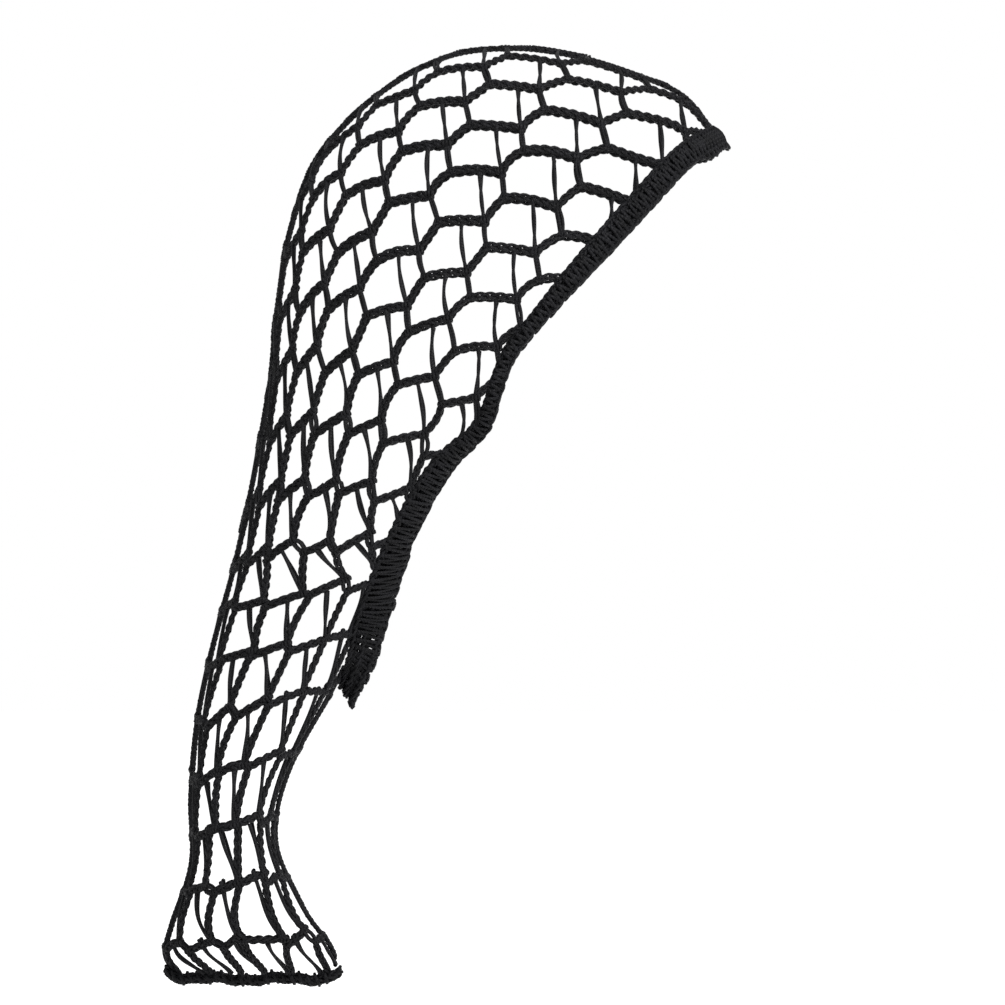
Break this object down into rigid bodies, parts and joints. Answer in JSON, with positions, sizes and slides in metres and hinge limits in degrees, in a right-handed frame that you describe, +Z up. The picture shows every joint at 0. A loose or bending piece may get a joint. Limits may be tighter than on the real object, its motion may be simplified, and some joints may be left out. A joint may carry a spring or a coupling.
{
  "type": "crochet sleep bonnet",
  "caption": "Long coarse crochet net worn over the hair, with a rounded crown, a stretch edge band and a hanging bag closed along its lower end.",
  "frame": {"origin": "inside of the crown on its middle line, where the net rests on the top of the head", "axes": "+X to the wearer's front, +Z up, +Y to the wearer's left"},
  "size_m": [0.254, 0.16, 0.4225],
  "materials": {
    "net_yarn": "black crocheted yarn in coarse open net",
    "band_yarn": "black yarn in dense stretch stitches",
    "seam_yarn": "black yarn in one dense closing row"
  },
  "bodies": {
    "root": {"net_bag": "net_yarn", "edge_band": "band_yarn", "bottom_seam": "seam_yarn"}
  },
  "joints": []
}
